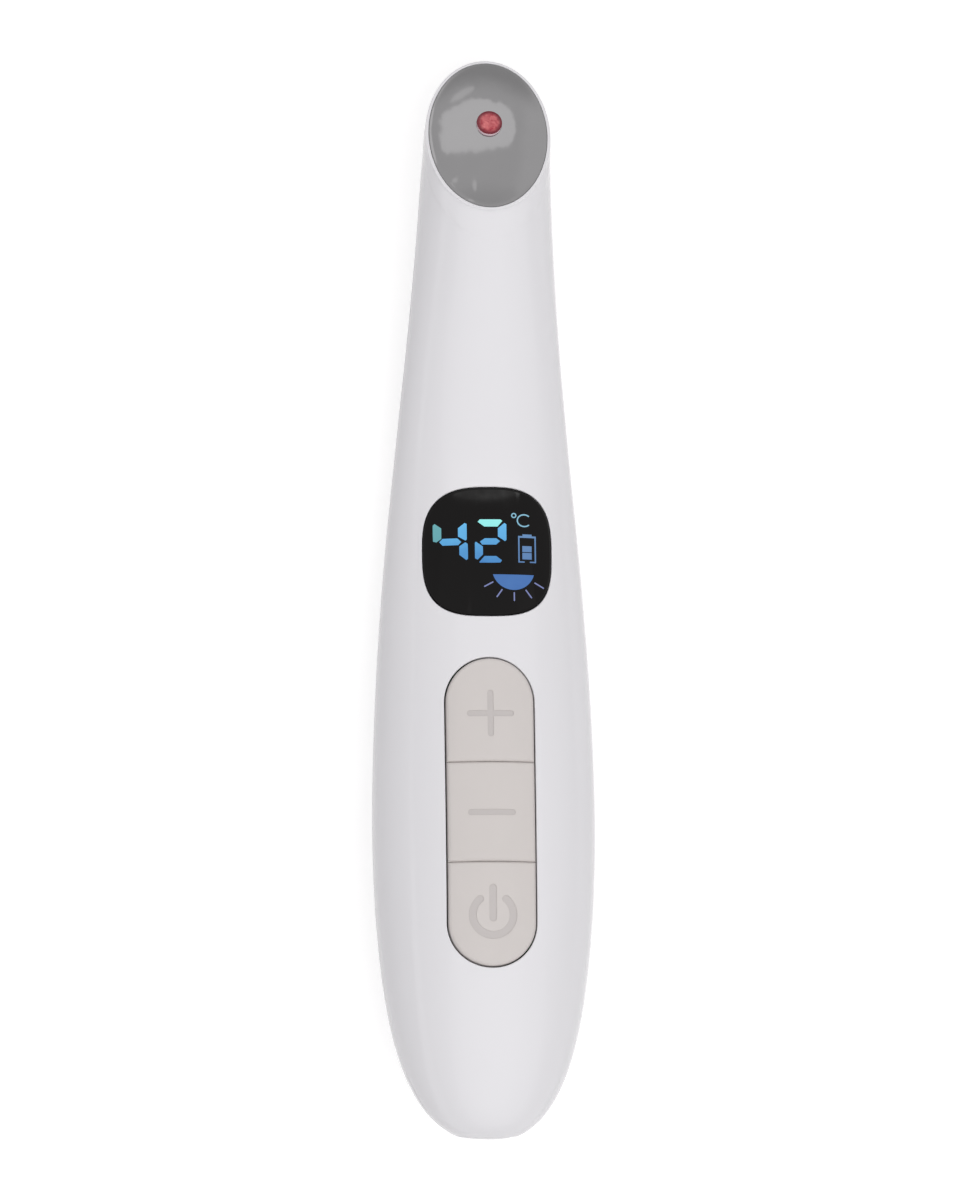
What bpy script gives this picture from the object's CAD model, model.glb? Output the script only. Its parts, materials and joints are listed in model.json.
import json
import math
from contextlib import contextmanager

import bmesh
import bpy
from mathutils import Matrix, Vector


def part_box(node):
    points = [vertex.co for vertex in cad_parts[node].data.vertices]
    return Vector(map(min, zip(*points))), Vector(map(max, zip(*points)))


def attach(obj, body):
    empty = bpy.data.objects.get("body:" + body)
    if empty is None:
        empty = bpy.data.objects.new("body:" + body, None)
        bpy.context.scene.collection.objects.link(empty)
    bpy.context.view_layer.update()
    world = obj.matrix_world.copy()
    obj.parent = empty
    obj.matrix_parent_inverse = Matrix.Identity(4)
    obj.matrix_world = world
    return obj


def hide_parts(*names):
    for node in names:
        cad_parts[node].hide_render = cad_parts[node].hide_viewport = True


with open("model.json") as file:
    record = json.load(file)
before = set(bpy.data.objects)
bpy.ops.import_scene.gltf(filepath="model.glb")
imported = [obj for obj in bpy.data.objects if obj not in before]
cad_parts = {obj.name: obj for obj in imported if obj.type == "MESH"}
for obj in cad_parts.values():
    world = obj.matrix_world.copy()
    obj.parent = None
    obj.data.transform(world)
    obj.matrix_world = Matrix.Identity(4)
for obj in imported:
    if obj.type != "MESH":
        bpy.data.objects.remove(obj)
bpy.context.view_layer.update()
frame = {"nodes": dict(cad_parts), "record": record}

MM = 0.001
# What counts as one point after a cut, as one point of a flat piece, and as one height or line
MERGE = 0.002 * MM
SAME_POINT = 1e-6
SAME_HEIGHT = 1e-7
# The share of a corner's room that its rounding takes, so that two roundings don't collide
CORNER_SHARE = 0.99999
TOP_FRAME = 0.07 * MM
EDGE_STEPS = 3

# The body's rings in millimetres, from the tail to the head: along and up for the front,
# along and up for the back, and the half width
BODY_RINGS = (
    (-82.62, 21.89, -82.62, 17.10, 3.42),
    (-81.21, 24.40, -81.33, 13.91, 6.36),
    (-77.59, 26.51, -78.76, 9.01, 9.78),
    (-70.92, 27.99, -72.91, 4.59, 13.00),
    (-61.56, 28.70, -63.55, 1.31, 15.30),
    (-50.21, 28.53, -51.50, -0.11, 16.60),
    (-38.98, 27.30, -39.45, -0.40, 17.15),
    (-27.04, 25.59, -27.51, -0.40, 17.05),
    (-14.99, 23.60, -15.46, -0.40, 16.55),
    (-2.94, 21.40, -3.41, -0.34, 15.75),
    (8.52, 19.61, 8.52, 0.11, 14.76),
    (18.94, 18.90, 19.99, 0.91, 13.59),
    (27.60, 19.10, 30.52, 2.00, 12.65),
    (34.50, 19.81, 40.59, 3.31, 11.80),
    (40.92, 20.89, 50.96, 4.99, 11.10),
    (46.87, 22.20, 62.05, 6.90, 10.45),
    (51.80, 23.40, 73.91, 9.09, 10.00),
    (55.47, 24.10, 81.81, 12.21, 9.68),
)
RIM_RING = (59.59, 25.54, 82.50, 15.19, 9.60)
# The rim's rounded edge: drop below the rim, and how far in
RIM_ROUND = ((0.7, 0.0), (0.14, 0.0), (0.0, 0.1))
RIM_INSET = 1
# The ring under the rim, in millimetres: its drop, its way back and its longer reach. It is
# wider by a share.
COLLAR_DROP = 3
COLLAR_BACK = 1.45
COLLAR_REACH = 2.05
COLLAR_WIDEN = 1.019
RING_SIDES = 16
FORM_LEVEL = 3
WALL = 1.8 * MM

# The joint between the shells, seen from the side: along and up, in millimetres
JOINT_LINE = (
    (-85.43, 19.61),
    (-82.50, 19.49),
    (-76.53, 18.90),
    (-70.45, 17.61),
    (-62.49, 16.19),
    (-51.50, 14.91),
    (-38.98, 13.91),
    (-27.04, 12.91),
    (-14.99, 11.71),
    (-2.94, 10.69),
    (8.52, 10.00),
    (19.52, 10.09),
    (29.58, 10.89),
    (38.43, 12.20),
    (47.51, 13.59),
    (56.44, 14.99),
    (63.54, 15.90),
    (68.48, 15.90),
    (73.43, 14.91),
    (77.56, 13.51),
    (81.16, 12.00),
    (85.48, 10.29),
)
JOINT_GAP = 0.2 * MM
JOINT_STEPS = 8
# The size of the solids that part the shells, which reach past the body all round
HALF_SPAN = 30 * MM
SPAN_HEIGHT = 40 * MM
# The front cover's lip, which reaches down inside the rear cover's wall
LIP_INWARD = 0.7 * MM
LIP_REACH = 1.2 * MM
LIP_ROOT = 1 * MM
LIP_PLAY = 0.1 * MM

# The deck is the tilted plane of the keys and the display, the head that of the plate.
DECK = Matrix.Translation((0, -0.021751, 0.017617)) @ Matrix.Rotation(
    math.radians(-8), 4, "X"
)
HEAD = Matrix.Translation((0, 0.0712, 0.020293)) @ Matrix.Rotation(
    math.radians(-24.3), 4, "X"
)
PORT = Matrix.Translation((0, -0.082501, 0.0195)) @ Matrix.Rotation(
    math.radians(90), 4, "X"
)
# Where the rays start that look for the front, over the deck
ABOVE_FRONT = 30 * MM

WINDOW_WIDTH = 19.8 * MM
WINDOW_LENGTH = 19.75 * MM
WINDOW_PLACE = (0.1 * MM, 28.55 * MM)
WINDOW_PROFILE = 0.62
WINDOW_GAP = 0.05 * MM
WINDOW_FLARE = 0.25 * MM
WINDOW_THICKNESS = 1.6 * MM
WINDOW_EDGE = 0.3 * MM
WINDOW_STEP = 1 * MM
STRIP_WIDTH = 13.45 * MM
STRIP_LENGTH = 47.33 * MM
STRIP_MIDDLE = -11.61 * MM
STRIP_GAP = 0.22 * MM
STRIP_FLARE = 0.3 * MM
# The keys sit a little off the middle of their opening.
KEY_SHIFT = (0.05 * MM, 0.05 * MM)
KEY_PITCH = 15.39 * MM
KEY_GAP = 0.05 * MM
PLATE_WIDTH = 18.2 * MM
PLATE_LENGTH = 24.2 * MM
PLATE_ALONG = -0.17 * MM
PLATE_RISE = 2.2 * MM
PLATE_GAP = 0.02 * MM
PLATE_EDGE = 0.18 * MM
PLATE_EDGE_STEPS = 4
PLATE_SKIRT = 0.65 * MM
PLATE_THICKNESS = 0.4 * MM
SEAT_FLARE = 0.12 * MM
LENS_ALONG = 0.65 * MM
LENS_RADIUS = 1.95 * MM
LENS_PROUD = 0.55 * MM
LENS_RISE = 0.22 * MM
LENS_PLAY = 0.03 * MM
LENS_HOLE_DEPTH = 10 * MM
# The lens's side, from the edge of its dome down: drop in millimetres, and growth
LENS_SIDE = ((1.4, 1.0), (0.05, 1.32), (0.55, 1.0), (0.0, 0.58), (2.9, 1.0))
PORT_WIDTH = 8.9 * MM
PORT_DEPTH = 3.2 * MM
PORT_GAP = 0.25 * MM
PORT_FLARE = 0.3 * MM
# How deep the openings' cutters go, how tall they are, and the steps in which they bend
FRONT_CUT = 4 * MM
SEAT_CUT = 2 * MM
PORT_CUT = 6 * MM
CUTTER_HEIGHT = 1 * MM
CUTTER_STEP = 1.2 * MM
# Faces that meet at less than this, in degrees, are shaded as one
SHELL_SHADING = 22
PLATE_SHADING = 30
SMALL_SHADING = 35

# The camera, placed as the photograph was taken: nearly square on, from far off
PHOTO_HEIGHT = 1200
MM_PER_PIXEL = 0.15306
CAMERA_TURN = math.radians(5.5)
CAMERA_AWAY = 6
CAMERA_AIM = (0.25 * MM, 0, 10.5 * MM)
CAMERA_NEAR = 0.05
CAMERA_FAR = 20
SENSOR = 36


def select_only(piece):
    bpy.ops.object.select_all(action="DESELECT")
    piece.select_set(True)
    bpy.context.view_layer.objects.active = piece


@contextmanager
def editing(piece):
    """Edit mode on one piece, with nothing selected at the start."""
    select_only(piece)
    bpy.ops.object.mode_set(mode="EDIT")
    bpy.ops.mesh.select_mode(type="VERT")
    bpy.ops.mesh.select_all(action="DESELECT")
    yield
    bpy.ops.object.mode_set(mode="OBJECT")


def choose(piece, kind, test):
    """In edit mode, selects only the verts, edges or faces that pass a test."""
    bpy.ops.mesh.select_mode(type={"verts": "VERT", "edges": "EDGE", "faces": "FACE"}[kind])
    bpy.ops.mesh.select_all(action="DESELECT")
    made = bmesh.from_edit_mesh(piece.data)
    for part in getattr(made, kind):
        if test(part):
            part.select_set(True)
    made.select_flush_mode()
    bmesh.update_edit_mesh(piece.data)


def at_height(height):
    """A test for the edges and faces that lie flat at a height."""
    return lambda part: all(abs(vert.co.z - height) < SAME_HEIGHT for vert in part.verts)


def add(operator, name, place=(0, 0, 0), scale=(1, 1, 1), turn=(0, 0, 0), **settings):
    """A primitive with its place, size and turn in its mesh."""
    bpy.ops.object.select_all(action="DESELECT")
    operator(location=place, rotation=turn, **settings)
    piece = bpy.context.object
    piece.name = piece.data.name = name
    piece.scale = scale
    bpy.ops.object.transform_apply(location=True, rotation=True, scale=True)
    return piece


def twin(piece, name):
    copy = piece.copy()
    copy.data = piece.data.copy()
    copy.name = copy.data.name = name
    bpy.context.scene.collection.objects.link(copy)
    return copy


def put(piece, matrix):
    """Moves a finished piece from the origin to its place."""
    piece.data.transform(matrix)
    piece.data.update()
    return piece


def apply_modifier(piece, kind, **settings):
    select_only(piece)
    step = piece.modifiers.new(kind.lower(), kind)
    for key, value in settings.items():
        setattr(step, key, value)
    bpy.ops.object.modifier_apply(modifier=step.name)
    return piece


def boolean(piece, operation, *others, keep=False):
    for other in others:
        apply_modifier(
            piece, "BOOLEAN", operation=operation, solver="EXACT", object=other
        )
        with editing(piece):
            weld(MERGE)
            bpy.ops.mesh.select_all(action="SELECT")
            bpy.ops.mesh.dissolve_degenerate(threshold=MERGE)
        if not keep:
            bpy.data.objects.remove(other, do_unlink=True)
    return piece


def join(name, pieces):
    bpy.ops.object.select_all(action="DESELECT")
    for piece in pieces:
        piece.select_set(True)
    bpy.context.view_layer.objects.active = pieces[0]
    bpy.ops.object.join()
    pieces[0].name = pieces[0].data.name = name
    return pieces[0]


def shade(piece, angle):
    select_only(piece)
    bpy.ops.object.shade_smooth_by_angle(angle=math.radians(angle))
    return piece


# Steps in edit mode


def raise_up(height):
    """Extrudes what is selected straight up."""
    bpy.ops.mesh.extrude_region_move(TRANSFORM_OT_translate={"value": (0, 0, height)})


def spread(across, along):
    """Scales what is selected, from the origin."""
    bpy.ops.transform.resize(value=(across, along, 1), center_override=(0, 0, 0))


def weld(threshold):
    bpy.ops.mesh.select_all(action="SELECT")
    bpy.ops.mesh.remove_doubles(threshold=threshold)


def face_outwards():
    bpy.ops.mesh.select_all(action="SELECT")
    bpy.ops.mesh.normals_make_consistent(inside=False)


# Flat pieces, which are made lying at the origin and then laid on the front


def rounded_face(name, width, length, corner, place=(0, 0), profile=0.5, steps=10):
    """A flat face with its four corners rounded."""
    face = add(
        bpy.ops.mesh.primitive_plane_add, name, (*place, 0), (width, length, 1), size=1
    )
    with editing(face):
        bpy.ops.mesh.select_all(action="SELECT")
        bpy.ops.mesh.bevel(
            offset=corner * CORNER_SHARE, segments=steps, profile=profile, affect="VERTICES"
        )
        weld(SAME_POINT)
    return face


def line_face(name, start, end, width, past, corner, steps, height=0.0):
    """A flat face along a line, in millimetres, longer than the line by past."""
    start, end = Vector(start) * MM, Vector(end) * MM
    way = end - start
    face = rounded_face(name, width * MM, way.length + past * MM, corner * MM, steps=steps)
    turn = math.atan2(way.y, way.x) - math.pi / 2
    spot = (*((start + end) / 2), height)
    return put(face, Matrix.Translation(spot) @ Matrix.Rotation(turn, 4, "Z"))


def thicken(face, height):
    """Makes a flat face a solid, upwards from where it lies."""
    with editing(face):
        bpy.ops.mesh.select_all(action="SELECT")
        raise_up(height)
        face_outwards()
    return face


def round_top(piece, radius):
    """Rounds the edge round a solid's flat top, and frames the top so that it shades flat."""
    with editing(piece):
        choose(piece, "edges", at_height(0))
        bpy.ops.mesh.bevel(
            offset=radius, segments=EDGE_STEPS, profile=0.5, affect="EDGES", clamp_overlap=False
        )
        weld(SAME_POINT)
        choose(piece, "faces", at_height(0))
        bpy.ops.mesh.inset(thickness=TOP_FRAME)
    return piece


def rounding(turn, radius, steps):
    """The steps, out and down, in which a rounded edge goes from a turn to level."""
    turns = [turn * (1 - i / steps) for i in range(steps + 1)]
    return [
        (radius * (math.cos(two) - math.cos(one)), radius * (math.sin(one) - math.sin(two)))
        for one, two in zip(turns, turns[1:])
    ]


def strip_cuts(piece, step):
    """Cuts a flat piece both ways, so that it can follow the curve of the front."""
    spots = [vert.co.copy() for vert in piece.data.vertices]
    with editing(piece):
        for way, normal in enumerate(((1, 0, 0), (0, 1, 0))):
            low = min(spot[way] for spot in spots)
            high = max(spot[way] for spot in spots)
            count = math.ceil((high - low) / step)
            for i in range(1, count):
                place = [0, 0, 0]
                place[way] = low + (high - low) * i / count
                bpy.ops.mesh.select_all(action="SELECT")
                bpy.ops.mesh.bisect(plane_co=place, plane_no=normal)
    return piece


def lay_on_front(piece, form):
    """Each point of a flat piece goes up by the front's height over the deck."""
    up = DECK.to_3x3() @ Vector((0, 0, 1))
    for vert in piece.data.vertices:
        over = DECK @ Vector((vert.co.x, vert.co.y, ABOVE_FRONT))
        found, spot, _, _ = form.ray_cast(over, -up)
        if not found:
            raise ValueError(piece.name + " reaches past the front")
        vert.co = spot + up * vert.co.z
    piece.data.update()
    return piece


FLARE_SLOPE = math.radians(28)
FLARE_RUN = 0.5 * MM
FLARE_STEPS = 4


def flared_cutter(name, outline, gap, edge, depth):
    """A cutter that leaves a rounded edge round the opening that it cuts. Outline makes a
    face that is larger than the piece in the opening by a width."""
    reach = gap + edge * (1 - math.sin(FLARE_SLOPE)) + FLARE_RUN
    cutter = outline(name, reach)
    start = FLARE_RUN * math.tan(FLARE_SLOPE)
    with editing(cutter):
        bpy.ops.mesh.select_all(action="SELECT")
        bpy.ops.transform.translate(value=(0, 0, start))
        raise_up(CUTTER_HEIGHT)
        face_outwards()
        choose(cutter, "faces", at_height(start))
        bpy.ops.mesh.inset(thickness=FLARE_RUN, depth=start)
        for inward, down in rounding(math.pi / 2 - FLARE_SLOPE, edge, FLARE_STEPS):
            bpy.ops.mesh.inset(thickness=inward, depth=down)
        bpy.ops.mesh.inset(thickness=0, depth=depth)
    return cutter


# The body


def ring_at(row, inward=0.0):
    """A ring's middle, half width, reach to the front and turn, from its row."""
    front = Vector((0, row[0], row[1])) * MM
    back = Vector((0, row[2], row[3])) * MM
    way = front - back
    return (
        (front + back) / 2,
        row[4] * MM - inward,
        way.length / 2 - inward,
        math.atan2(way.z, way.y),
    )


def wand_form(name, inward=0.0):
    """The whole outer form, lofted through its rings, or the same moved in by a wall."""
    rings = [ring_at(row, inward) for row in BODY_RINGS]
    middle, half_width, reach, turn = ring_at(RIM_RING, inward)
    normal = Matrix.Rotation(turn, 3, "X") @ Vector((0, 0, -1))
    if inward:
        tail = rings[0]
        rings[0] = (tail[0] + Vector((0, inward, 0)), *tail[1:])
        rings.append((middle - normal * inward, half_width, reach, turn))
    else:
        collar = (
            (middle - normal * COLLAR_DROP * MM)
            + Vector((0, math.cos(turn), math.sin(turn))) * COLLAR_BACK * MM
        )
        rings.append((collar, half_width * COLLAR_WIDEN, reach + COLLAR_REACH * MM, turn))
        for drop, less in RIM_ROUND:
            rings.append(
                (middle - normal * drop * MM, half_width - less * MM, reach - less * MM, turn)
            )
        rings.append((middle, half_width - RIM_INSET * MM, reach - RIM_INSET * MM, turn))
    # A ring of a subdivided cage ends up smaller than the cage by this share.
    swell = 1 / (2 / 3 + math.cos(2 * math.pi / RING_SIDES) / 3)
    loops = [
        add(
            bpy.ops.mesh.primitive_circle_add,
            "ring",
            spot,
            (across * swell, ahead * swell, 1),
            (lean, 0, 0),
            vertices=RING_SIDES,
            radius=1,
        )
        for spot, across, ahead, lean in rings
    ]
    form = join(name, loops)
    with editing(form):
        for i in range(len(rings) - 1):
            first, last = i * RING_SIDES, (i + 2) * RING_SIDES
            choose(
                form,
                "edges",
                lambda edge: all(first <= vert.index < last for vert in edge.verts)
                and len(edge.link_faces) < 2
                and not (
                    len(edge.link_faces) == 1
                    and all(vert.index >= first + RING_SIDES for vert in edge.verts)
                ),
            )
            bpy.ops.mesh.bridge_edge_loops()
        for first in (0, (len(rings) - 1) * RING_SIDES):
            choose(
                form,
                "edges",
                lambda edge: all(
                    first <= vert.index < first + RING_SIDES for vert in edge.verts
                ),
            )
            bpy.ops.mesh.edge_face_add()
        face_outwards()
    level = FORM_LEVEL - 1 if inward else FORM_LEVEL
    return apply_modifier(form, "SUBSURF", levels=level, render_levels=level)


def joint_solid(name, drop, height):
    """All that lies above the shells' joint, or below it where height is negative."""
    curve = bpy.data.curves.new(name, "CURVE")
    curve.dimensions = "3D"
    spline = curve.splines.new("BEZIER")
    spline.bezier_points.add(len(JOINT_LINE) - 1)
    for point, (along, up) in zip(spline.bezier_points, JOINT_LINE):
        point.co = (-HALF_SPAN, along * MM, up * MM - drop)
        point.handle_left_type = point.handle_right_type = "AUTO"
    spline.resolution_u = JOINT_STEPS
    solid = bpy.data.objects.new(name, curve)
    bpy.context.scene.collection.objects.link(solid)
    select_only(solid)
    bpy.ops.object.convert(target="MESH")
    solid = bpy.context.object
    with editing(solid):
        bpy.ops.mesh.select_all(action="SELECT")
        bpy.ops.mesh.extrude_region_move(
            TRANSFORM_OT_translate={"value": (2 * HALF_SPAN, 0, 0)}
        )
        bpy.ops.mesh.select_all(action="SELECT")
        raise_up(height)
        face_outwards()
    return solid


def window_outline(name, more):
    width, length = WINDOW_WIDTH + 2 * more, WINDOW_LENGTH + 2 * more
    return rounded_face(
        name, width, length, min(width, length) / 2, WINDOW_PLACE, WINDOW_PROFILE, 24
    )


def strip_outline(name, more):
    width = STRIP_WIDTH + 2 * more
    length = STRIP_LENGTH + 2 * more
    return rounded_face(name, width, length, width / 2, (0, STRIP_MIDDLE), steps=20)


def seat_outline(name, more):
    return add(
        bpy.ops.mesh.primitive_circle_add,
        name,
        (0, PLATE_ALONG, 0),
        (PLATE_WIDTH / 2 + more, PLATE_LENGTH / 2 + more, 1),
        vertices=128,
        radius=1,
        fill_type="NGON",
    )


def port_outline(name, more):
    width, depth = PORT_WIDTH + 2 * more, PORT_DEPTH + 2 * more
    return rounded_face(name, width, depth, depth / 2, steps=12)


def make_body():
    """The two shells, and the outer form that the flat pieces are laid on."""
    outer = wand_form("outer_form")
    ground = add(
        bpy.ops.mesh.primitive_cube_add, "ground", (0, 0, -5 * MM), (0.1, 0.3, 10 * MM), size=1
    )
    boolean(outer, "DIFFERENCE", ground)
    inner = wand_form("inner_form", WALL)
    above = joint_solid("joint", 0, SPAN_HEIGHT)
    front = boolean(twin(outer, "front_cover"), "INTERSECT", above)
    below = joint_solid("joint", JOINT_GAP, -SPAN_HEIGHT)
    rear = boolean(twin(outer, "rear_cover"), "INTERSECT", below)
    for cover, operation, play in ((front, "UNION", 0), (rear, "DIFFERENCE", LIP_PLAY)):
        band = joint_solid("joint", -LIP_ROOT, -(LIP_ROOT + LIP_REACH + play))
        lip = boolean(wand_form("lip", LIP_INWARD - play), "INTERSECT", band)
        boolean(cover, operation, lip)
    window = flared_cutter("window_cut", window_outline, WINDOW_GAP, WINDOW_FLARE, FRONT_CUT)
    keys = flared_cutter("strip_cut", strip_outline, STRIP_GAP, STRIP_FLARE, FRONT_CUT)
    for cutter in (window, keys):
        strip_cuts(cutter, CUTTER_STEP)
        lay_on_front(cutter, outer)
    seat = put(flared_cutter("seat_cut", seat_outline, PLATE_GAP, SEAT_FLARE, SEAT_CUT), HEAD)
    boolean(front, "DIFFERENCE", seat, window, keys)
    port = put(flared_cutter("port_cut", port_outline, PORT_GAP, PORT_FLARE, PORT_CUT), PORT)
    for cutter in (inner, port):
        boolean(front, "DIFFERENCE", cutter, keep=True)
        boolean(rear, "DIFFERENCE", cutter)
    for cover, node in ((front, "front_shell"), (rear, "rear_shell")):
        shade(cover, SHELL_SHADING)
        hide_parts(node)
        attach(cover, "root")
    return outer, front, rear


def make_window(outer):
    window = thicken(window_outline("window_glass", 0), -WINDOW_THICKNESS)
    round_top(window, WINDOW_EDGE)
    strip_cuts(window, WINDOW_STEP)
    lay_on_front(window, outer)
    shade(window, SMALL_SHADING)
    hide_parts("display_window")
    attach(window, "root")
    return window


MARK_DEPTH = 0.14 * MM
CROSSING_SINK = 0.006 * MM
FLOOR_PLAY = 0.01 * MM
KEY_THICKNESS = 2.2 * MM
KEY_EDGE = 0.42 * MM
KEY_STEP = 1.1 * MM
# The marks in the keys, in millimetres from the middle of each mark
BAR_WIDTH = 0.94
PLUS_REACH = 3.15
MINUS_REACH = 3.2
POWER_RADIUS = 3.12
POWER_OPENING = math.radians(80)
POWER_ENDS = ((-2.005, 2.39), (2.005, 2.39))
ARC_WIDTH = 1.2
END_WIDTH = 1.22
POWER_BAR_WIDTH = 1.15


def bar(name, start, end, width, sink=0.0):
    """A flat bar with round ends, made into a cutter for a key's mark. One that crosses
    another cutter is sunk a little more, so that their floors never lie in one plane."""
    face = line_face(name, start, end, width, width, width / 2, 6, -MARK_DEPTH - sink)
    return thicken(face, CUTTER_HEIGHT)


def power_ring(name, radius, width, opening):
    """An arc that is spun round the mark's middle, open at its top, with square ends."""
    start = Matrix.Rotation(-opening / 2, 4, "Z")
    arc = add(
        bpy.ops.mesh.primitive_plane_add,
        name,
        (0, radius * MM, -MARK_DEPTH + CUTTER_HEIGHT / 2),
        (width * MM, CUTTER_HEIGHT, 1),
        (math.pi / 2, 0, math.pi / 2),
        size=1,
    )
    with editing(arc):
        bpy.ops.mesh.select_all(action="SELECT")
        bpy.ops.mesh.spin(
            steps=48, angle=2 * math.pi - opening, center=(0, 0, 0), axis=(0, 0, 1)
        )
        face_outwards()
    return put(arc, start)


def make_key(name, place, low, high, marks, shift, outer):
    """One key of the row: round at its free end, square where it meets the next one. The
    floors of its marks take the key's second finish."""
    width, length = STRIP_WIDTH, high - low
    key = add(
        bpy.ops.mesh.primitive_plane_add,
        name,
        (0, (low + high) / 2, 0),
        (width, length, 1),
        size=1,
    )
    with editing(key):
        if place:
            end = low if place < 0 else high
            choose(key, "verts", lambda vert: abs(vert.co.y - end) < SAME_POINT)
            bpy.ops.mesh.bevel(offset=width / 2 * CORNER_SHARE, segments=24, affect="VERTICES")
        weld(SAME_POINT)
    thicken(key, -KEY_THICKNESS)
    round_top(key, KEY_EDGE)
    for mark in marks:
        put(mark, Matrix.Translation((0, STRIP_MIDDLE + place + shift, 0)))
        boolean(key, "DIFFERENCE", mark)
    for face in key.data.polygons:
        spots = [key.data.vertices[i].co.z for i in face.vertices]
        face.material_index = int(all(abs(spot + MARK_DEPTH) < FLOOR_PLAY for spot in spots))
    strip_cuts(key, KEY_STEP)
    put(key, Matrix.Translation((*KEY_SHIFT, 0)))
    lay_on_front(key, outer)
    shade(key, SMALL_SHADING)
    return key


def make_keys(outer):
    half = STRIP_LENGTH / 2
    cut = KEY_PITCH / 2
    gap = KEY_GAP / 2
    plus = [
        bar("plus_across", (-PLUS_REACH, 0), (PLUS_REACH, 0), BAR_WIDTH),
        bar("plus_along", (0, -PLUS_REACH), (0, PLUS_REACH), BAR_WIDTH, CROSSING_SINK),
    ]
    minus = [bar("minus_across", (-MINUS_REACH, 0), (MINUS_REACH, 0), BAR_WIDTH)]
    power = [
        power_ring("power_arc", POWER_RADIUS, ARC_WIDTH, POWER_OPENING),
        *(bar("power_end", end, end, END_WIDTH, CROSSING_SINK) for end in POWER_ENDS),
        bar("power_bar", (0, -0.5), (0, 4.15), POWER_BAR_WIDTH),
    ]
    keys = []
    # Word, place of the key, its ends, its marks, and how far the marks are off its middle
    rows = (
        ("plus", KEY_PITCH, cut + gap, half, plus, -0.26 * MM),
        ("minus", 0, -cut + gap, cut - gap, minus, -0.14 * MM),
        ("power", -KEY_PITCH, -half, -cut - gap, power, -0.5 * MM),
    )
    for word, place, low, high, marks, shift in rows:
        key = make_key(
            "key_" + word, place, STRIP_MIDDLE + low, STRIP_MIDDLE + high, marks, shift, outer
        )
        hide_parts("button_" + word)
        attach(key, word + "_key")
        keys.append(key)
    return keys


# The display's lit signs, in millimetres from their own place near the window's middle. The
# corners of a bar go round it clockwise.
LIT_THICKNESS = 0.06 * MM
LIT_PROUD = 0.02 * MM
SIGN_PLACE = (-0.27 * MM, 28.6 * MM)
SIGN_STEP = 1 * MM
FOUR_LEFT = (
    (-7.99, 4.16),
    (-7.72, 4.40),
    (-6.73, 3.66),
    (-6.73, 2.05),
    (-7.47, 1.55),
    (-7.96, 1.70),
)
TWO_TOP = (
    (-1.23, 4.53),
    (-0.93, 4.90),
    (2.28, 4.90),
    (2.55, 4.67),
    (1.81, 3.80),
    (-0.23, 3.80),
)
DIGIT_BARS = (
    ((-7.05, 1.55), (-6.56, 2.05), (-4.34, 2.05), (-3.76, 1.48), (-4.21, 1.00), (-6.56, 1.00)),
    ((-4.23, 3.60), (-3.24, 4.38), (-2.92, 4.23), (-2.91, 1.87), (-3.10, 1.67), (-4.23, 2.25)),
    ((-4.05, 0.81), (-3.14, 1.42), (-2.78, 1.15), (-2.76, -1.13), (-3.01, -1.33), (-4.05, -0.53)),
    ((1.86, 3.54), (2.89, 4.37), (3.18, 4.16), (3.18, 1.79), (2.96, 1.58), (1.86, 2.22)),
    ((-0.90, 1.50), (-0.17, 2.00), (1.61, 2.00), (2.18, 1.57), (1.57, 1.03), (-0.60, 1.03)),
    ((-1.69, 1.32), (-1.53, 1.48), (-0.47, 0.78), (-0.47, -0.48), (-1.29, -1.28), (-1.69, -1.06)),
    ((-1.06, -1.67), (-0.23, -0.73), (1.57, -0.73), (2.45, -1.37), (2.21, -1.72), (-0.96, -1.75)),
)
SUN_RAYS = (
    ((-0.35, -5.45), (1.07, -4.70)),
    ((1.56, -7.06), (2.45, -5.84)),
    ((4.29, -7.63), (4.29, -6.26)),
    ((6.09, -5.84), (7.04, -7.10)),
    ((7.50, -4.70), (8.99, -5.50)),
)
RAY_WIDTH = 0.2
SUN_MIDDLE = (4.22, -2.58)
SUN_RADIUS = 3.34
SUN_TOP = -3.49
# The battery's frame, its cap and its two cells: each box's low and high corner
BATTERY_BOXES = (
    ((5.00, -1.66), (5.22, 2.44)),
    ((7.58, -1.66), (7.80, 2.44)),
    ((5.22, 2.16), (7.58, 2.44)),
    ((5.69, 2.44), (7.14, 2.70)),
    ((5.22, -1.66), (5.98, -1.46)),
    ((6.81, -1.66), (7.58, -1.46)),
    ((5.64, -0.01), (7.11, 0.90)),
    ((5.64, -1.15), (7.11, -0.14)),
)


def lit_box(name, low, high):
    low, high = Vector(low) * MM, Vector(high) * MM
    return add(
        bpy.ops.mesh.primitive_plane_add,
        name,
        (*((low + high) / 2), 0),
        (*(high - low), 1),
        size=1,
    )


def lit_bar(name, corners):
    """A bar with straight sides: a plane that is cut back to each of them in turn."""
    low = [min(corner[way] for corner in corners) for way in (0, 1)]
    high = [max(corner[way] for corner in corners) for way in (0, 1)]
    piece = lit_box(name, low, high)
    with editing(piece):
        for one, two in zip(corners, (*corners[1:], corners[0])):
            bpy.ops.mesh.select_all(action="SELECT")
            bpy.ops.mesh.bisect(
                plane_co=(one[0] * MM, one[1] * MM, 0),
                plane_no=(one[1] - two[1], two[0] - one[0], 0),
                clear_outer=True,
                threshold=SAME_HEIGHT,
            )
    return piece


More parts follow.
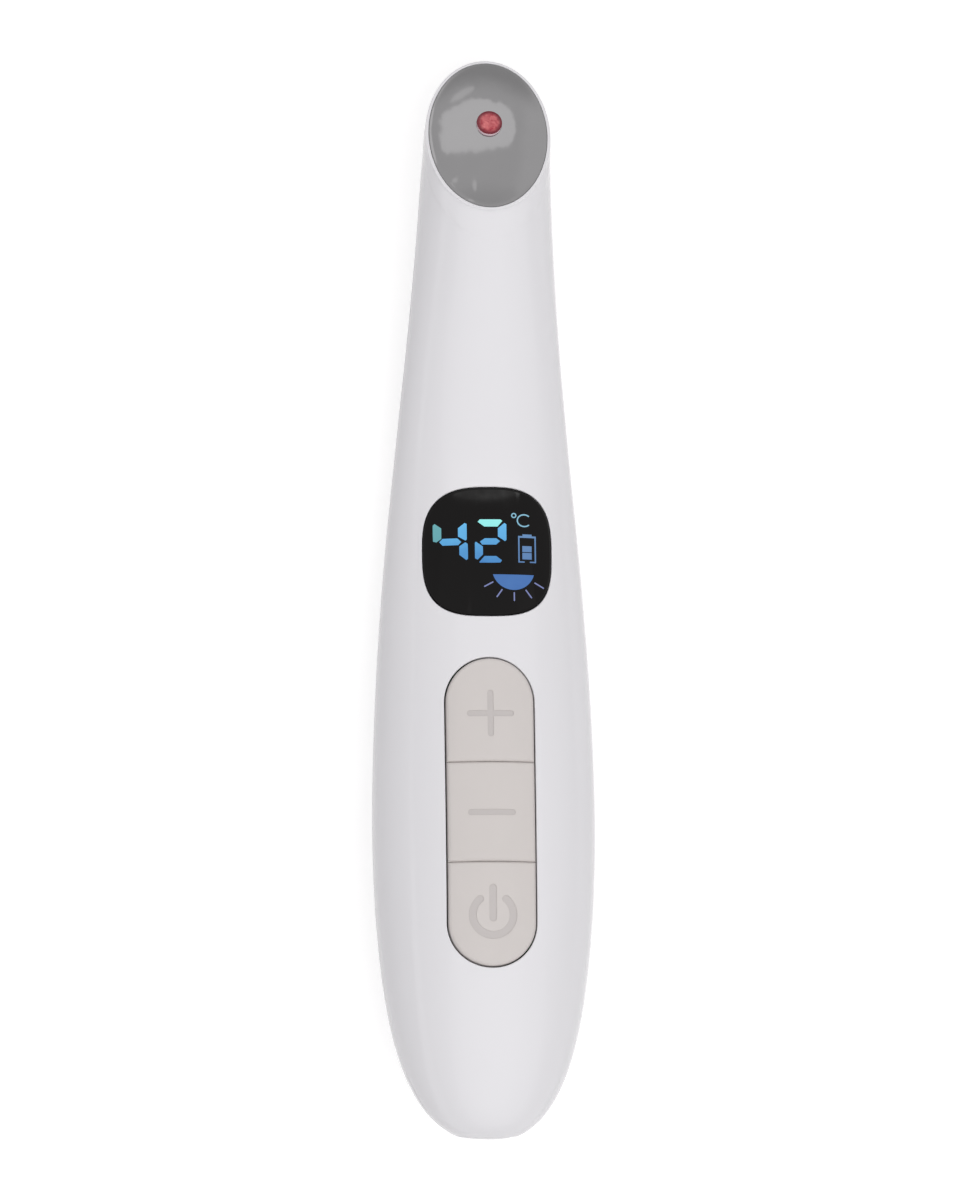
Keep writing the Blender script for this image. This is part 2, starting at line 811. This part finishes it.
def lit_ring(name, middle, size, stroke, opening=0.0):
    """A flat ring, or an arc that is open at its right."""
    ring = add(
        bpy.ops.mesh.primitive_circle_add, name, vertices=32, radius=1, fill_type="NOTHING"
    )
    with editing(ring):
        if opening:
            choose(ring, "verts", lambda vert: vert.co.x > math.cos(opening / 2))
            bpy.ops.mesh.delete(type="VERT")
        bpy.ops.mesh.select_all(action="SELECT")
        spread(size[0] * MM / 2, size[1] * MM / 2)
        raise_up(0)
        spread(1 - 2 * stroke / size[0], 1 - 2 * stroke / size[1])
    return put(ring, Matrix.Translation((middle[0] * MM, middle[1] * MM, 0)))


def lit_sun(name):
    """Half a disc, flat at its top."""
    sun = add(
        bpy.ops.mesh.primitive_circle_add,
        name,
        (SUN_MIDDLE[0] * MM, SUN_MIDDLE[1] * MM, 0),
        vertices=64,
        radius=SUN_RADIUS * MM,
        fill_type="NGON",
    )
    with editing(sun):
        bpy.ops.mesh.select_all(action="SELECT")
        bpy.ops.mesh.bisect(
            plane_co=(0, SUN_TOP * MM, 0), plane_no=(0, 1, 0), clear_outer=True
        )
    return sun


def lit_ray(start, end):
    return line_face("sun_ray", start, end, RAY_WIDTH, 0, RAY_WIDTH / 4, 2)


def make_signs(outer):
    unit = [
        lit_ring("degree", (4.35, 5.54), (0.82, 0.8), 0.17),
        lit_ring("degree_letter", (5.97, 4.80), (2.34, 2.0), 0.2, math.radians(70)),
    ]
    signs = [
        join("lit_digits", [lit_bar("digit_bar", corners) for corners in DIGIT_BARS]),
        lit_bar("lit_two_top", TWO_TOP),
        lit_bar("lit_four_left", FOUR_LEFT),
        join("lit_unit", unit),
        join("lit_battery", [lit_box("battery_box", *corners) for corners in BATTERY_BOXES]),
        lit_sun("lit_sun"),
        join("lit_rays", [lit_ray(start, end) for start, end in SUN_RAYS]),
    ]
    for sign in signs:
        with editing(sign):
            bpy.ops.mesh.select_all(action="SELECT")
            bpy.ops.transform.translate(value=(*SIGN_PLACE, LIT_PROUD - LIT_THICKNESS))
            raise_up(LIT_THICKNESS)
            face_outwards()
        strip_cuts(sign, SIGN_STEP)
        lay_on_front(sign, outer)
        shade(sign, SMALL_SHADING)
        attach(sign, "root")
    return signs


# The head's plate and lens, and the socket's contacts

# The share of a dome's width that one face closes at its top
DOME_CAP = 0.02
# The lens's faces that are steeper than this are its pale side.
SIDE_TILT = 0.3
CONTACT_WIDTH = 0.3 * MM
CONTACT_LENGTH = 3.4 * MM
CONTACT_CORNER = 0.08 * MM
CONTACT_PITCH = 0.5 * MM
CONTACT_THICKNESS = 0.04 * MM
CONTACT_BACK = 2 * MM


def dome(name, width, length, rise, rings, steps=96):
    """A domed oval face, its outer loop at height 0, made by drawing its edge inwards."""
    face = add(
        bpy.ops.mesh.primitive_circle_add,
        name,
        (0, 0, 0),
        (width / 2, length / 2, 1),
        vertices=steps,
        radius=1,
        fill_type="NOTHING",
    )
    with editing(face):
        bpy.ops.mesh.select_all(action="SELECT")
        for i in range(rings):
            one, two = 1 - i / rings, max(1 - (i + 1) / rings, DOME_CAP)
            raise_up(rise * (one**2 - two**2))
            spread(two / one, two / one)
        bpy.ops.mesh.edge_face_add()
    return face


def make_plate():
    edge = PLATE_EDGE
    plate = dome(
        "plate_face", PLATE_WIDTH - 2 * edge, PLATE_LENGTH - 2 * edge, PLATE_RISE, 20
    )
    with editing(plate):
        choose(plate, "edges", lambda part: part.is_boundary)
        across, along = PLATE_WIDTH / 2 - edge, PLATE_LENGTH / 2 - edge
        for more, down in rounding(math.pi / 2, edge, PLATE_EDGE_STEPS):
            raise_up(-down)
            spread((across + more) / across, (along + more) / along)
            across, along = across + more, along + more
        raise_up(-PLATE_SKIRT)
        face_outwards()
    apply_modifier(plate, "SOLIDIFY", thickness=PLATE_THICKNESS, offset=-1)
    hole = add(
        bpy.ops.mesh.primitive_cylinder_add,
        "lens_hole",
        (0, LENS_ALONG - PLATE_ALONG, 0),
        vertices=64,
        radius=LENS_RADIUS + LENS_PLAY,
        depth=LENS_HOLE_DEPTH,
    )
    boolean(plate, "DIFFERENCE", hole)
    put(plate, HEAD @ Matrix.Translation((0, PLATE_ALONG, 0)))
    shade(plate, PLATE_SHADING)
    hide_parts("massage_plate")
    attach(plate, "root")
    return plate


def make_lens():
    top = PLATE_RISE * (1 - (2 * (LENS_ALONG - PLATE_ALONG) / PLATE_LENGTH) ** 2)
    lens = dome("lens_cap", LENS_RADIUS * 2, LENS_RADIUS * 2, LENS_RISE, 10, 64)
    with editing(lens):
        choose(lens, "edges", lambda part: part.is_boundary)
        for drop, grow in LENS_SIDE:
            raise_up(-drop * MM)
            spread(grow, grow)
        bpy.ops.mesh.edge_face_add()
        face_outwards()
    for face in lens.data.polygons:
        face.material_index = int(abs(face.normal.z) < SIDE_TILT)
    put(lens, HEAD @ Matrix.Translation((0, LENS_ALONG, top + LENS_PROUD)))
    shade(lens, SMALL_SHADING)
    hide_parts("light_lens")
    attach(lens, "root")
    return lens


def make_contacts():
    """The socket's row of contacts, on the tongue's upper side."""
    low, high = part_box("usb_tongue")
    pads = [
        rounded_face(
            "contact",
            CONTACT_WIDTH,
            CONTACT_LENGTH,
            CONTACT_CORNER,
            (i * CONTACT_PITCH, 0),
            steps=2,
        )
        for i in range(-5, 6)
    ]
    pads = join("usb_contacts", pads)
    thicken(pads, CONTACT_THICKNESS)
    put(pads, Matrix.Translation((0, low.y + CONTACT_BACK, high.z)))
    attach(pads, "root")
    return pads


# Finishes


def linear(*levels):
    """A colour as it is read off a screen, from 0 to 255, in linear light."""
    shares = [level / 255 for level in levels]
    return tuple(
        share / 12.92 if share < 0.04045 else ((share + 0.055) / 1.055) ** 2.4
        for share in shares
    )


class Value:
    """A node's output, so that shader maths is written as plain sums."""

    def __init__(self, tree, socket):
        self.tree = tree
        self.socket = socket

    def beside(self, output):
        """Another output of the same node."""
        return Value(self.tree, self.socket.node.outputs[output])

    def sum_of(self, operation, *values):
        return self.tree.node(
            "ShaderNodeMath", {"operation": operation}, dict(enumerate(values))
        )

    def __add__(self, other):
        return self.sum_of("ADD", self, other)

    __radd__ = __add__

    def __sub__(self, other):
        return self.sum_of("SUBTRACT", self, other)

    def __rsub__(self, other):
        return self.sum_of("SUBTRACT", other, self)

    def __mul__(self, other):
        return self.sum_of("MULTIPLY", self, other)

    __rmul__ = __mul__

    def __truediv__(self, other):
        return self.sum_of("DIVIDE", self, other)

    def __rtruediv__(self, other):
        return self.sum_of("DIVIDE", other, self)

    def __pow__(self, other):
        return self.sum_of("POWER", self, other)


class Tree:
    """The nodes of a material or of the world."""

    def __init__(self, owner):
        owner.use_nodes = True
        self.nodes = owner.node_tree.nodes
        self.links = owner.node_tree.links

    def feed(self, socket, value):
        if isinstance(value, Value):
            self.links.new(value.socket, socket)
        else:
            socket.default_value = value

    def node(self, kind, settings=None, inputs=None, output=0):
        made = self.nodes.new(kind)
        for key, value in (settings or {}).items():
            setattr(made, key, value)
        for key, value in (inputs or {}).items():
            self.feed(made.inputs[key], value)
        return Value(self, made.outputs[output])

    def mix(self, share, one, two):
        return self.node(
            "ShaderNodeMix",
            {"data_type": "RGBA"},
            {0: share, 6: one, 7: two},
            output=2,
        )


class Finish(Tree):
    """A material: its shader, and the nodes that vary it over the surface."""

    def __init__(self, name, colour, roughness, metallic=0.0, **uniform):
        self.material = bpy.data.materials.new(name)
        super().__init__(self.material)
        self.shader = self.nodes["Principled BSDF"]
        self.colour = (*colour, 1)
        self.set("Base Color", self.colour)
        self.set("Roughness", roughness)
        self.set("Metallic", metallic)
        for key, value in uniform.items():
            self.set(key.replace("_", " "), value)
        self.place = self.node("ShaderNodeTexCoord", output="Object")

    def set(self, name, value):
        self.feed(self.shader.inputs[name], value)

    def noise(self, scale, detail=2.0, rough=0.5, warp=0.0, place=None):
        return self.node(
            "ShaderNodeTexNoise",
            inputs={
                "Vector": place or self.place,
                "Scale": scale,
                "Detail": detail,
                "Roughness": rough,
                "Distortion": warp,
            },
        )

    def ramp(self, share, *stops, smooth=False):
        return self.node(
            "ShaderNodeMapRange",
            {"clamp": True, "interpolation_type": "SMOOTHSTEP" if smooth else "LINEAR"},
            dict(enumerate((share, *stops))),
        )

    def split(self, vector=None):
        made = self.node("ShaderNodeSeparateXYZ", inputs={0: vector or self.place})
        return [made.beside(i) for i in range(3)]

    def mapped(self, vector, **settings):
        """Coordinates that are turned or drawn out."""
        return self.node(
            "ShaderNodeMapping", {"vector_type": "POINT"}, {"Vector": vector, **settings}
        )

    def bump(self, height, distance, strength):
        self.set(
            "Normal",
            self.node(
                "ShaderNodeBump",
                inputs={"Height": height, "Distance": distance, "Strength": strength},
            ),
        )

    def tint(self, amount, share):
        """Varies the colour, lighter and darker, by an amount where share goes 0 to 1."""
        dark = tuple(level * (1 - amount) for level in self.colour[:3])
        light = tuple(min(1, level * (1 + amount)) for level in self.colour[:3])
        self.set("Base Color", self.mix(share, (*dark, 1), (*light, 1)))


def glossy_shell(name):
    finish = Finish(name, linear(232, 232, 235), 0.16, Specular_IOR_Level=0.38)
    finish.tint(0.012, finish.noise(35, 3))
    finish.set("Roughness", finish.ramp(finish.noise(420, 4), 0.35, 0.7, 0.13, 0.2))
    finish.bump(finish.noise(900, 2), 0.012 * MM, 0.25)
    return finish


WARM_GREY = (207, 202, 199)
SUNK_GREY = (194, 189, 187)


def satin_key(name, levels=WARM_GREY):
    finish = Finish(name, linear(*levels), 0.5)
    finish.tint(0.02, finish.noise(260, 4))
    finish.set("Roughness", finish.ramp(finish.noise(900, 3), 0.3, 0.7, 0.44, 0.58))
    finish.bump(finish.noise(9000, 2), 0.02 * MM, 0.35)
    return finish


def dark_glass(name):
    finish = Finish(name, linear(9, 7, 7), 0.05, Specular_IOR_Level=0.14)
    finish.tint(0.12, finish.noise(60, 3))
    finish.set("Roughness", finish.ramp(finish.noise(240, 5), 0.4, 0.75, 0.04, 0.1))
    return finish


# Where along the wand the signs' colours start and end to change
SIGN_FADE = (4 * MM, 12.5 * MM)
# The colours of the signs, in the order in which they are made: nearer the tail, nearer the head
SIGN_COLOURS = (
    ((46, 104, 178), (104, 192, 240)),
    ((92, 206, 212), (154, 240, 236)),
    ((80, 146, 162), (104, 172, 176)),
    ((116, 168, 200), (136, 190, 212)),
    ((78, 116, 168), (104, 144, 188)),
    ((62, 108, 174), (88, 138, 198)),
    ((122, 130, 180), (148, 152, 194)),
)


def lit_sign(name, low, high):
    """A lit sign, whose colour goes from low to high along the wand."""
    finish = Finish(name, linear(10, 14, 18), 0.25, Specular_IOR_Level=0.3)
    along = finish.split()[1]
    share = finish.ramp(along, *SIGN_FADE, 0.0, 1.0)
    mottle = finish.noise(500, 3) * 0.3 + share * 0.9 - 0.1
    finish.set("Emission Color", finish.mix(mottle, (*linear(*low), 1), (*linear(*high), 1)))
    finish.set("Emission Strength", 1.0)
    return finish


def polished_metal(name):
    finish = Finish(name, linear(134, 133, 134), 0.14, 1.0)
    smear = finish.noise(150, 5, 0.6, 0.8)
    finish.tint(0.04, smear)
    finish.set("Roughness", finish.ramp(smear, 0.3, 0.75, 0.05, 0.13))
    finish.bump(finish.noise(180, 3, 0.6), 0.06 * MM, 0.3)
    return finish


def red_glass(name):
    finish = Finish(name, linear(166, 48, 64), 0.12, Specular_IOR_Level=0.35)
    middle = HEAD @ Vector((0, LENS_ALONG, 0))
    moved = finish.node(
        "ShaderNodeVectorMath", {"operation": "SUBTRACT"}, {0: finish.place, 1: tuple(middle)}
    )
    turned = finish.mapped(moved, Rotation=(-HEAD.to_euler().x, 0, 0))
    across, along, _ = finish.split(turned)
    away = (across * across + along * along) ** 0.5 / LENS_RADIUS
    glow = finish.noise(900, 3, 0.6, 1.2)
    lit = finish.mix(
        finish.ramp(glow, 0.35, 0.65, 0, 1),
        (*linear(166, 44, 60), 1),
        (*linear(218, 116, 118), 1),
    )
    edge = finish.ramp(away, 0.6, 0.92, 0, 1, smooth=True)
    finish.set("Base Color", finish.mix(edge, lit, (*linear(112, 14, 34), 1)))
    return finish


def plain(name, levels, roughness, metallic=0.0, grain=700, depth=0.01):
    """A moulded, drawn or printed finish with a fine grain."""
    finish = Finish(name, linear(*levels), roughness, metallic)
    finish.tint(0.06, finish.noise(grain / 4, 3))
    finish.set(
        "Roughness",
        finish.ramp(finish.noise(grain, 3), 0.3, 0.7, roughness * 0.85, min(1, roughness * 1.15)),
    )
    finish.bump(finish.noise(grain * 4, 2), depth * MM, 0.4)
    return finish


def circuit_board(name):
    finish = Finish(name, linear(18, 92, 50), 0.42)
    cells = finish.node(
        "ShaderNodeTexBrick",
        {"offset": 0.35, "squash": 0.6},
        {"Vector": finish.place, "Scale": 900.0, "Mortar Size": 0.03},
        output="Fac",
    )
    tracks = finish.mix(cells, (*linear(22, 104, 58), 1), (*linear(36, 132, 74), 1))
    finish.set("Base Color", tracks)
    finish.bump(cells, 0.02 * MM, 0.5)
    finish.set("Roughness", finish.ramp(finish.noise(600, 3), 0.3, 0.7, 0.34, 0.5))
    return finish


# The slots of the record: those with a plain finish, with its colour, roughness, metallic
# share, grain and the grain's depth, and those with a finish of their own
PLAIN_FINISHES = {
    "black_plastic": ((30, 30, 31), 0.5),
    "natural_plastic": ((222, 219, 208), 0.45),
    "grey_rubber": ((96, 96, 98), 0.8),
    "amber_film": ((206, 148, 66), 0.35),
    "steel": ((196, 197, 200), 0.28, 1.0, 1500, 0.004),
    "dark_weight": ((132, 131, 134), 0.45, 1.0),
    "red_light": ((214, 48, 44), 0.3),
    "display_film": ((38, 38, 42), 0.3),
    "cell_wrap": ((54, 112, 176), 0.3),
    "red_lead": ((182, 34, 30), 0.5),
    "black_lead": ((34, 34, 35), 0.5),
}
OWN_FINISHES = {
    "circuit_board": circuit_board,
    "white_shell": glossy_shell,
    "polished_plate": polished_metal,
    "red_lens": red_glass,
    "black_window": dark_glass,
    "warm_grey_key": satin_key,
}


def finish_piece(piece, *finishes):
    for finish in finishes:
        piece.data.materials.append(finish.material)


def finish_frame():
    """Gives each CAD node the finish of its slot in the record, and returns the finishes."""
    made = {}
    for part in frame["record"]["subparts"]:
        node = frame["nodes"][part["node"]]
        slot = part["material_slot"]
        if slot not in made:
            if slot in PLAIN_FINISHES:
                made[slot] = plain(slot, *PLAIN_FINISHES[slot])
            else:
                made[slot] = OWN_FINISHES[slot](slot)
        for place in node.material_slots:
            place.material = made[slot].material
    return made


# The studio

# Each lamp's name, place, what it faces, size, brightness, and whether gloss mirrors it
LAMPS = (
    ("overhead", (0.1, -0.3, 1.3), (0.1, -0.3, 0), (1.5, 1.6), 1.47, False),
    ("sheen", (0.05, -0.55, 1.3), (0.05, -0.55, 0), (1.5, 1.3), 0.8, True),
    ("side_fill", (1.4, 0.6, 0.9), (0, 0.03, 0.02), (1.1, 1.1), 0.2, False),
)
FLOOR_SIZE = 4
FLOOR_DROP = 0.1 * MM
FLOOR_GLOW = (0.6, 0.6, 0.6, 1)
ROOM_LIGHT = (0.47, 0.455, 0.46, 1)
WHITE = (1, 1, 1, 1)
DARK = (0, 0, 0, 1)


def softbox(name, spot, aim, size, level, mirrored):
    """A lamp whose face is level times as bright as a white wall."""
    light = bpy.data.lights.new(name, "AREA")
    light.shape = "RECTANGLE"
    light.size, light.size_y = size
    light.energy = level * math.pi * size[0] * size[1]
    lamp = bpy.data.objects.new(name, light)
    bpy.context.scene.collection.objects.link(lamp)
    lamp.visible_glossy = mirrored
    lamp.location = spot
    lamp.rotation_euler = (Vector(aim) - Vector(spot)).to_track_quat("-Z", "Y").to_euler()


def gloss_card(name, size, spot, turn):
    """A card that only gloss sees. Returns its finish, which is black until it is set."""
    card = add(bpy.ops.mesh.primitive_grid_add, name, scale=(*size, 1), x_subdivisions=4, size=1)
    card.matrix_world = Matrix.Translation(spot) @ Matrix.Rotation(math.radians(turn), 4, "X")
    for kind in ("camera", "diffuse", "transmission", "shadow"):
        setattr(card, "visible_" + kind, False)
    finish = Finish(name, (0, 0, 0), 1.0, Specular_IOR_Level=0)
    finish.set("Emission Strength", 1.0)
    finish_piece(card, finish)
    return finish


def oval(across, along, middle, half, power=1.0):
    """0 in the middle of an oval on a card and 1 at its edge. A higher power squares it."""
    out = (across - middle[0]) * (1 / half[0])
    up = (along - middle[1]) * (1 / half[1])
    return (out * out) ** power + (up * up) ** power


# The marks low on the head's card: each one's middle and half size
LOW_MARKS = (((-0.54, -0.64), (0.07, 0.03)), ((-0.15, -0.76), (0.045, 0.08)))


def make_head_card():
    """What the plate mirrors, beyond the head: a light patch with uneven edges, a short
    streak over it, two marks under it, a darker top and a lighter right side."""
    finish = gloss_card("head_card", size=(2.6, 1.9), spot=(-0.06, 0.9, 0.6), turn=-54.6)
    across, along, _ = finish.split()
    wave = finish.noise(4, 4, 0.6) - 0.5
    patch = oval(across, along, (-0.05, -0.05), (0.62, 0.28), 1.5) + wave * 2
    patch = finish.ramp(patch, 0.95, 1.1, 1, 0)
    slope = along - across * 0.25
    streak = finish.ramp(oval(across, slope, (-0.2, 0.38), (0.2, 0.05)) + wave, 0.7, 1.1, 1, 0)
    for spot, half in LOW_MARKS:
        mark = oval(across, along, spot, half) + wave * 2
        streak = streak + finish.ramp(mark, 0.6, 1.1, 1, 0)
    middle = finish.ramp(across * across, 0.6, 1.4, 1, 0, smooth=True)
    top = finish.ramp(along + wave * 0.1, 0.28, 0.6, 0, 1, smooth=True) * middle
    right = finish.ramp(across + wave * 0.3, 0.62, 0.95, 0, 1, smooth=True)
    left = finish.ramp(across, -0.95, -0.75, 1, 0, smooth=True)
    low = finish.ramp(along, -0.92, -0.7, 1, 0, smooth=True)
    level = 1.15 + patch * 0.5 + streak * 0.35 + right * 0.09
    finish.set("Emission Color", level - top * 0.32 - left * 0.11 - low * 0.12)


def make_window_card():
    """What the top of the window mirrors: a few pale streaks."""
    finish = gloss_card("window_card", size=(1.9, 0.12), spot=(0.08, 0.15, 1.2), turn=0)
    across, along, _ = finish.split()
    drawn = finish.mapped(finish.place, Scale=(4, 40, 1))
    streaks = finish.noise(1, 3, 0.6, place=drawn)
    inside = oval(across, along, (0, -0.02), (0.82, 0.028), 1.5) + (streaks - 0.5) * 1.5
    spot = oval(across, along, (0.68, -0.002), (0.07, 0.012))
    spot = finish.ramp(spot, 0.4, 1, 1, 0, smooth=True)
    level = finish.ramp(streaks, 0.4, 0.65, 1.0, 2.6) * finish.ramp(inside, 0.7, 1, 1, 0)
    finish.set("Emission Color", 1 + level + spot * 5)


def plain_sight(tree):
    """1 for what the camera, gloss or clear glass looks at, and 0 for what gives light."""
    camera = tree.node("ShaderNodeLightPath", output="Is Camera Ray")
    seen = camera
    for ray in ("Is Glossy Ray", "Is Transmission Ray"):
        seen = camera.sum_of("MAXIMUM", seen, camera.beside(ray))
    return seen


def make_room():
    """A world and a floor that look white, and light the wand more softly than that."""
    world = bpy.data.worlds.new("studio")
    bpy.context.scene.world = world
    room = Tree(world)
    background = room.nodes["Background"]
    room.feed(background.inputs["Color"], room.mix(plain_sight(room), ROOM_LIGHT, WHITE))
    room.feed(background.inputs["Strength"], 1)
    floor = add(
        bpy.ops.mesh.primitive_grid_add,
        "floor",
        (0, 0, -FLOOR_DROP),
        x_subdivisions=8,
        y_subdivisions=8,
        size=FLOOR_SIZE,
    )
    pale = Finish("pale_floor", linear(202, 202, 202), 0.9, Specular_IOR_Level=0.1)
    pale.set("Emission Color", pale.mix(plain_sight(pale), DARK, FLOOR_GLOW))
    pale.set("Emission Strength", 1.0)
    finish_piece(floor, pale)


def make_camera():
    camera = bpy.data.cameras.new("camera")
    eye = bpy.data.objects.new("camera", camera)
    bpy.context.scene.collection.objects.link(eye)
    back = Vector((-math.sin(CAMERA_TURN), 0, math.cos(CAMERA_TURN)))
    right = Vector((math.cos(CAMERA_TURN), 0, math.sin(CAMERA_TURN)))
    up = Vector((0, 1, 0))
    eye.matrix_world = Matrix.Translation(
        Vector(CAMERA_AIM) + back * CAMERA_AWAY
    ) @ Matrix((right, up, back)).transposed().to_4x4()
    camera.sensor_width = SENSOR
    camera.lens = SENSOR * CAMERA_AWAY / (PHOTO_HEIGHT * MM_PER_PIXEL * MM)
    camera.clip_start = CAMERA_NEAR
    camera.clip_end = CAMERA_FAR
    bpy.context.scene.camera = eye


def make_studio():
    bpy.context.scene.view_settings.view_transform = "Standard"
    make_room()
    for lamp in LAMPS:
        softbox(*lamp)
    make_head_card()
    make_window_card()
    make_camera()


made = finish_frame()
outer, front, rear = make_body()
window = make_window(outer)
keys = make_keys(outer)
signs = make_signs(outer)
plate = make_plate()
lens = make_lens()
contacts = make_contacts()
bpy.data.objects.remove(outer, do_unlink=True)

for cover in (front, rear):
    finish_piece(cover, made["white_shell"])
finish_piece(window, made["black_window"])
sunk = satin_key("sunk_mark", SUNK_GREY)
for key in keys:
    finish_piece(key, made["warm_grey_key"], sunk)
finish_piece(plate, made["polished_plate"])
finish_piece(lens, made["red_lens"], plain("pale_lens_side", (240, 214, 222), 0.3))
finish_piece(contacts, plain("brass", (214, 178, 96), 0.3, 1.0))
for sign, (low, high) in zip(signs, SIGN_COLOURS):
    finish_piece(sign, lit_sign(sign.name, low, high))

make_studio()
